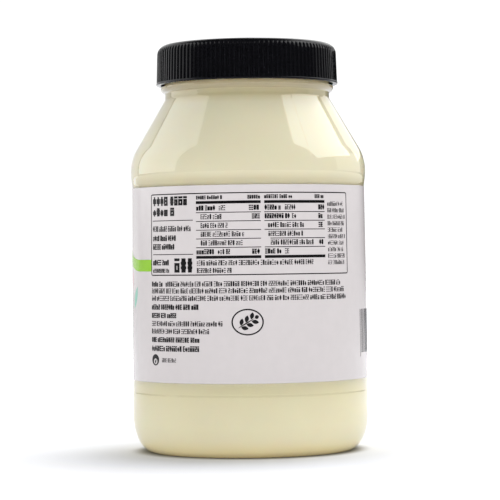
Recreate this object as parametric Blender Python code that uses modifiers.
# A wide-mouth jar of mayonnaise: a clear plastic jar filled to the neck, a black screw cap with
# a ribbed skirt, and a printed sleeve label that lies in a shallow recess of the wall.
# Metres, +Z up, with the origin at the middle of the resting ring under the base.

import math

import bmesh
import bpy
from mathutils import Matrix, Vector

MM = 0.001

CLEARANCE = 0.3 * MM             # left between pieces that touch
EASED_EDGE = 0.3 * MM            # chamfer on the rims of the jar and the cap
MITRE_LIMIT = 0.5                # smallest cosine that a mitred corner is worked out with
ROUND_STEPS = 48                 # facets round the jar, the food and the label
CAP_STEPS = 60                   # facets round the cap
CAP_RIBS = 120                   # ribs on its skirt

BEAD_RADIUS = 48.15 * MM         # widest part of the body, below the label
WALL = 0.9 * MM                  # plastic of the body
RING_RADIUS = 40.0 * MM          # outer edge of the flat ring that the jar stands on
RING_WIDTH = 3.0 * MM
PUSH_UP = 4.5 * MM               # hollow under the middle of the base
CORNER_HEIGHT = 15.0 * MM        # rounded corner between the base and the side

LABEL_FOOT = 29.5 * MM           # heights of the label's lower and upper edges
LABEL_TOP = 107.1 * MM
LABEL_WAIST = 43.0 * MM          # height where the label is widest
LABEL_THICKNESS = 0.3 * MM
LABEL_FOOT_RADIUS = 47.8 * MM    # outer face of the label at its foot, waist and top
LABEL_WAIST_RADIUS = 48.05 * MM
LABEL_TOP_RADIUS = 47.45 * MM
RECESS_FOOT = 25.0 * MM          # the recess runs a little past the label at both ends
RECESS_TOP = 107.9 * MM
RECESS_EDGE = 3.0 * MM           # height of the step at each end of the recess

SHOULDER_RADIUS = 48.0 * MM      # body above the label
SHOULDER_START = 114.0 * MM      # height where the side begins to turn in
SHOULDER_BEND = 18.0 * MM        # radius of that turn
SHOULDER_SLOPE = math.radians(30.5)  # lean of the straight stretch, from upright

NECK_RADIUS = 33.55 * MM
NECK_FOOT = 143.4 * MM
NECK_BORE = 32.0 * MM
BORE_START = 142.8 * MM          # height where the wall's inside becomes the straight bore
COLLAR_FOOT = 145.9 * MM         # collar just under the cap
COLLAR_RADIUS = 35.0 * MM
COLLAR_TOP = 148.5 * MM
COLLAR_RIM = 1.2 * MM            # upright edge of the collar
RIM_HEIGHT = 163.7 * MM

FILL_HEIGHT = 154.0 * MM         # level of the food, above the cap's lower edge
FILL_CROWN = 1.0 * MM            # low mound in the middle of its surface

CAP_FOOT = 149.1 * MM
CAP_TOP = 165.6 * MM
CAP_TOP_RADIUS = 36.65 * MM      # skirt just under the rounded edge
CAP_FOOT_RADIUS = 37.0 * MM
CAP_EDGE = 4.0 * MM              # rounding between the top and the skirt
CAP_PLATE = 1.5 * MM             # thickness of the top
CAP_BORE = 34.9 * MM
CAP_FILLET = 1.2 * MM            # slope between the bore and the underside of the top
CAP_LIP = 1.2 * MM               # smooth band under the ribs
CAP_LIP_BULGE = 0.1 * MM
GROOVE_DEPTH = 0.6 * MM
GROOVE_BAR = 1.6 * MM            # half the diagonal of the square bar that cuts a groove
GROOVE_OVERRUN = 1.0 * MM        # the bars stand this far above the cap's top

CLEAR_PLASTIC = (0.93, 0.94, 0.92, 1.0)
MAYONNAISE = (0.70, 0.65, 0.46, 1.0)
LABEL_FILM = (0.66, 0.64, 0.65, 1.0)
CAP_PLASTIC = (0.012, 0.012, 0.014, 1.0)


def clear_scene():
    for obj in list(bpy.data.objects):
        bpy.data.objects.remove(obj)


def make_collection(name):
    collection = bpy.data.collections.new(name)
    bpy.context.scene.collection.children.link(collection)
    return collection


def make_material(name, colour, roughness, transmission=0.0):
    material = bpy.data.materials.new(name)
    material.use_nodes = True
    shader = material.node_tree.nodes["Principled BSDF"]
    shader.inputs["Base Color"].default_value = colour
    shader.inputs["Roughness"].default_value = roughness
    shader.inputs["Metallic"].default_value = 0.0
    shader.inputs["Transmission Weight"].default_value = transmission
    return material


def arc(centre, radii, start, end, pieces):
    # Points of an elliptical arc in the (radius, height) plane, angles from the outward direction.
    points = []
    for index in range(pieces + 1):
        angle = start + (end - start) * index / pieces
        points.append((centre[0] + radii[0] * math.cos(angle), centre[1] + radii[1] * math.sin(angle)))
    return points


def parallel(outline, distance):
    # The outline moved sideways, to the left of its direction, with mitred corners.
    moved = []
    for index, point in enumerate(outline):
        before = Vector(outline[max(index - 1, 0)])
        here = Vector(point)
        after = Vector(outline[min(index + 1, len(outline) - 1)])
        arriving = (here - before).normalized() if index > 0 else (after - here).normalized()
        leaving = (after - here).normalized() if index < len(outline) - 1 else arriving
        side_in = Vector((-arriving.y, arriving.x))
        side_out = Vector((-leaving.y, leaving.x))
        middle = (side_in + side_out).normalized()
        step = distance / max(middle.dot(side_in), MITRE_LIMIT)
        moved.append((here.x + middle.x * step, here.y + middle.y * step))
    return moved


def turn(name, outline, steps, material, collection, closed=False):
    # A turned solid: the outline runs down its outer side and is spun once about Z.
    mesh = bpy.data.meshes.new(name)
    edges = [(index, index + 1) for index in range(len(outline) - 1)]
    if closed:
        edges.append((len(outline) - 1, 0))
    mesh.from_pydata([(radius, 0.0, height) for radius, height in outline], edges, [])
    mesh.materials.append(material)
    obj = bpy.data.objects.new(name, mesh)
    collection.objects.link(obj)
    screw = obj.modifiers.new("Turn", "SCREW")
    screw.axis = "Z"
    screw.angle = math.tau
    screw.steps = steps
    screw.render_steps = steps
    screw.use_merge_vertices = True
    screw.merge_threshold = 0.00001
    screw.use_smooth_shade = True
    return obj


def label_radius(height):
    # Outer face of the label: widest at its waist, drawn in a little towards both ends.
    if height < LABEL_WAIST:
        share = (LABEL_WAIST - height) / (LABEL_WAIST - LABEL_FOOT)
        return LABEL_WAIST_RADIUS + (LABEL_FOOT_RADIUS - LABEL_WAIST_RADIUS) * share
    share = (height - LABEL_WAIST) / (LABEL_TOP - LABEL_WAIST)
    return LABEL_WAIST_RADIUS + (LABEL_TOP_RADIUS - LABEL_WAIST_RADIUS) * share


def recess_radius(height):
    return label_radius(height) - LABEL_THICKNESS - CLEARANCE


def body_outline():
    # Outside of the jar from the middle of the base up to the foot of the neck.
    ring_inside = RING_RADIUS - RING_WIDTH
    hollow = arc((0.0, 0.0), (ring_inside, PUSH_UP), math.pi / 2, 0.0, 4)
    corner_width = BEAD_RADIUS - RING_RADIUS
    corner = arc((RING_RADIUS, CORNER_HEIGHT), (corner_width, CORNER_HEIGHT), -math.pi / 2, 0.0, 6)
    recess = [
        (BEAD_RADIUS, RECESS_FOOT - RECESS_EDGE),
        (recess_radius(RECESS_FOOT), RECESS_FOOT),
        (recess_radius(LABEL_WAIST), LABEL_WAIST),
        (recess_radius(RECESS_TOP), RECESS_TOP),
        (SHOULDER_RADIUS, RECESS_TOP + RECESS_EDGE),
    ]
    bend_centre = (SHOULDER_RADIUS - SHOULDER_BEND, SHOULDER_START)
    bend = arc(bend_centre, (SHOULDER_BEND, SHOULDER_BEND), 0.0, SHOULDER_SLOPE, 4)
    return hollow + corner + recess + bend + [(NECK_RADIUS, NECK_FOOT)]


def inner_outline():
    # Inside of the jar: the body's outline moved in by the wall, then the straight bore.
    body = parallel(body_outline(), WALL)[:-1]
    body[0] = (0.0, body[0][1])
    return body + [(NECK_BORE, BORE_START)]


def make_jar(material, collection):
    collar = [
        (NECK_RADIUS, COLLAR_FOOT),
        (COLLAR_RADIUS, COLLAR_TOP - COLLAR_RIM),
        (COLLAR_RADIUS, COLLAR_TOP),
        (NECK_RADIUS, COLLAR_TOP),
    ]
    rim = [
        (NECK_RADIUS, RIM_HEIGHT - EASED_EDGE),
        (NECK_RADIUS - EASED_EDGE, RIM_HEIGHT),
        (NECK_BORE + EASED_EDGE, RIM_HEIGHT),
        (NECK_BORE, RIM_HEIGHT - EASED_EDGE),
    ]
    outside = body_outline() + collar + rim
    inside = inner_outline()
    return turn("jar", inside + outside[::-1], ROUND_STEPS, material, collection)


def make_mayonnaise(material, collection):
    sides = parallel(inner_outline(), CLEARANCE)
    sides[0] = (0.0, sides[0][1])
    sides[-1] = (NECK_BORE - CLEARANCE, sides[-1][1])
    crown = arc((0.0, FILL_HEIGHT), (NECK_BORE - CLEARANCE, FILL_CROWN), 0.0, math.pi / 2, 4)
    crown[-1] = (0.0, FILL_HEIGHT + FILL_CROWN)
    outline = sides + crown
    return turn("mayonnaise", outline[::-1], ROUND_STEPS, material, collection)


def make_label(material, collection):
    heights = [LABEL_TOP, LABEL_WAIST, LABEL_FOOT]
    outer = [(label_radius(height), height) for height in heights]
    inner = [(label_radius(height) - LABEL_THICKNESS, height) for height in reversed(heights)]
    return turn("label", outer + inner, ROUND_STEPS, material, collection, closed=True)


def cap_outline():
    edge_centre = (CAP_TOP_RADIUS - CAP_EDGE, CAP_TOP - CAP_EDGE)
    edge = arc(edge_centre, (CAP_EDGE, CAP_EDGE), math.pi / 2, 0.0, 4)
    lip_radius = CAP_FOOT_RADIUS + CAP_LIP_BULGE
    skirt = [
        (CAP_FOOT_RADIUS, CAP_FOOT + CAP_LIP),
        (lip_radius, CAP_FOOT + CAP_LIP / 2),
        (lip_radius, CAP_FOOT + EASED_EDGE),
        (lip_radius - EASED_EDGE, CAP_FOOT),
    ]
    plate = CAP_TOP - CAP_PLATE
    inside = [
        (CAP_BORE + EASED_EDGE, CAP_FOOT),
        (CAP_BORE, CAP_FOOT + EASED_EDGE),
        (CAP_BORE, plate - CAP_FILLET),
        (CAP_BORE - CAP_FILLET, plate),
        (0.0, plate),
    ]
    return [(0.0, CAP_TOP)] + edge + skirt + inside


def make_grooves(collection):
    # Square bars round the skirt, one corner of each turned inwards. They lean with the skirt's
    # draft and run out at the rounded top edge.
    bottom = CAP_FOOT + CAP_LIP
    top = CAP_TOP + GROOVE_OVERRUN
    straight = CAP_TOP - CAP_EDGE
    lean = math.atan2(CAP_FOOT_RADIUS - CAP_TOP_RADIUS, straight - bottom)
    bars = bmesh.new()
    middle_radius = CAP_FOOT_RADIUS - (top - bottom) / 2 * math.tan(lean) - GROOVE_DEPTH + GROOVE_BAR
    for index in range(CAP_RIBS):
        angle = math.tau * (index + 0.5) / CAP_RIBS
        place = (
            Matrix.Rotation(angle, 4, "Z")
            @ Matrix.Translation((middle_radius, 0.0, (bottom + top) / 2))
            @ Matrix.Rotation(-lean, 4, "Y")
        )
        bmesh.ops.create_cone(
            bars,
            cap_ends=True,
            segments=4,
            radius1=GROOVE_BAR,
            radius2=GROOVE_BAR,
            depth=top - bottom,
            matrix=place,
        )
    mesh = bpy.data.meshes.new("groove_bars")
    bars.to_mesh(mesh)
    bars.free()
    cutter = bpy.data.objects.new("groove_bars", mesh)
    cutter.hide_render = True
    cutter.display_type = "WIRE"
    collection.objects.link(cutter)
    return cutter


def make_cap(material, collection, cutters):
    cap = turn("cap", cap_outline(), CAP_STEPS, material, collection)
    ribs = cap.modifiers.new("Ribs", "BOOLEAN")
    ribs.operation = "DIFFERENCE"
    ribs.solver = "EXACT"
    ribs.object = make_grooves(cutters)
    return cap


def main():
    clear_scene()
    parts = make_collection("mayonnaise_jar")
    cutters = make_collection("cutters")
    clear_plastic = make_material("clear_plastic", CLEAR_PLASTIC, 0.05, transmission=1.0)
    food = make_material("mayonnaise", MAYONNAISE, 0.45)
    film = make_material("label_film", LABEL_FILM, 0.4)
    black_plastic = make_material("cap_plastic", CAP_PLASTIC, 0.3)
    make_jar(clear_plastic, parts)
    make_mayonnaise(food, parts)
    make_label(film, parts)
    make_cap(black_plastic, parts, cutters)


main()
